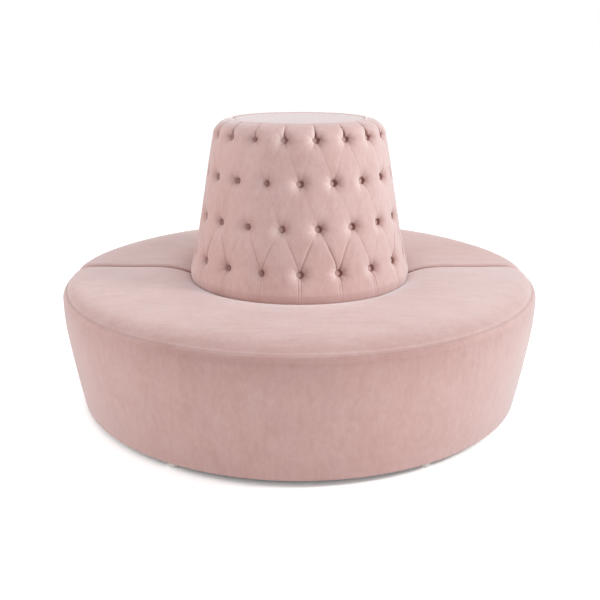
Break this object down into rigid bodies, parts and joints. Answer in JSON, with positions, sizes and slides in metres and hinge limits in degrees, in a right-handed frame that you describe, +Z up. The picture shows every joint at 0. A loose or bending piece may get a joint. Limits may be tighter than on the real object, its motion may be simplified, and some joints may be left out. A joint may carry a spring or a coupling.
{
  "type": "round sofa",
  "caption": "Round upholstered seat of two half rings around a tall tapering backrest with staggered sunken buttons and diamond pleats, on low round glides.",
  "frame": {"origin": "centre of the round footprint, on the floor", "axes": "+Z up along the backrest's axis; X runs along the split between the two seat modules; -Y is the pictured front"},
  "size_m": [1.6, 1.602, 0.941],
  "materials": {
    "velvet": "short pile velvet",
    "plywood": "raw",
    "hardboard": "raw",
    "foam": "open cell foam",
    "lining_cloth": "non-woven cloth",
    "glide_plastic": "satin",
    "link_steel": "zinc plated"
  },
  "bodies": {
    "root": {"centre_base_board": "plywood", "centre_drum_rib_front": "plywood", "centre_drum_rib_long": "plywood", "centre_drum_rib_rear": "plywood", "centre_drum_wall": "plywood", "centre_glide_1": "glide_plastic", "centre_glide_2": "glide_plastic", "centre_glide_3": "glide_plastic", "centre_glide_4": "glide_plastic", "centre_lining_cloth": "lining_cloth", "centre_mid_board": "plywood", "cone_foam": "foam", "cone_rib_front": "plywood", "cone_rib_long": "plywood", "cone_rib_rear": "plywood", "cone_shell": "hardboard", "cone_top_board": "plywood", "cone_top_pad": "velvet", "cone_tufted_cover": "velvet", "front_base_board": "plywood", "front_end_board_1": "plywood", "front_end_board_2": "plywood", "front_inner_glide_1": "glide_plastic", "front_inner_glide_2": "glide_plastic", "front_inner_wall": "plywood", "front_lining_cloth": "lining_cloth", "front_outer_glide_1": "glide_plastic", "front_outer_glide_2": "glide_plastic", "front_outer_glide_3": "glide_plastic", "front_outer_glide_4": "glide_plastic", "front_outer_wall": "plywood", "front_rib_1": "plywood", "front_rib_2": "plywood", "front_rib_3": "plywood", "front_seat_cushion": "velvet", "front_seat_deck": "plywood", "front_side_band": "velvet", "link_bar_left": "link_steel", "link_bar_right": "link_steel", "rear_base_board": "plywood", "rear_end_board_1": "plywood", "rear_end_board_2": "plywood", "rear_inner_glide_1": "glide_plastic", "rear_inner_glide_2": "glide_plastic", "rear_inner_wall": "plywood", "rear_lining_cloth": "lining_cloth", "rear_outer_glide_1": "glide_plastic", "rear_outer_glide_2": "glide_plastic", "rear_outer_glide_3": "glide_plastic", "rear_outer_glide_4": "glide_plastic", "rear_outer_wall": "plywood", "rear_rib_1": "plywood", "rear_rib_2": "plywood", "rear_rib_3": "plywood", "rear_seat_cushion": "velvet", "rear_seat_deck": "plywood", "rear_side_band": "velvet"}
  },
  "joints": []
}
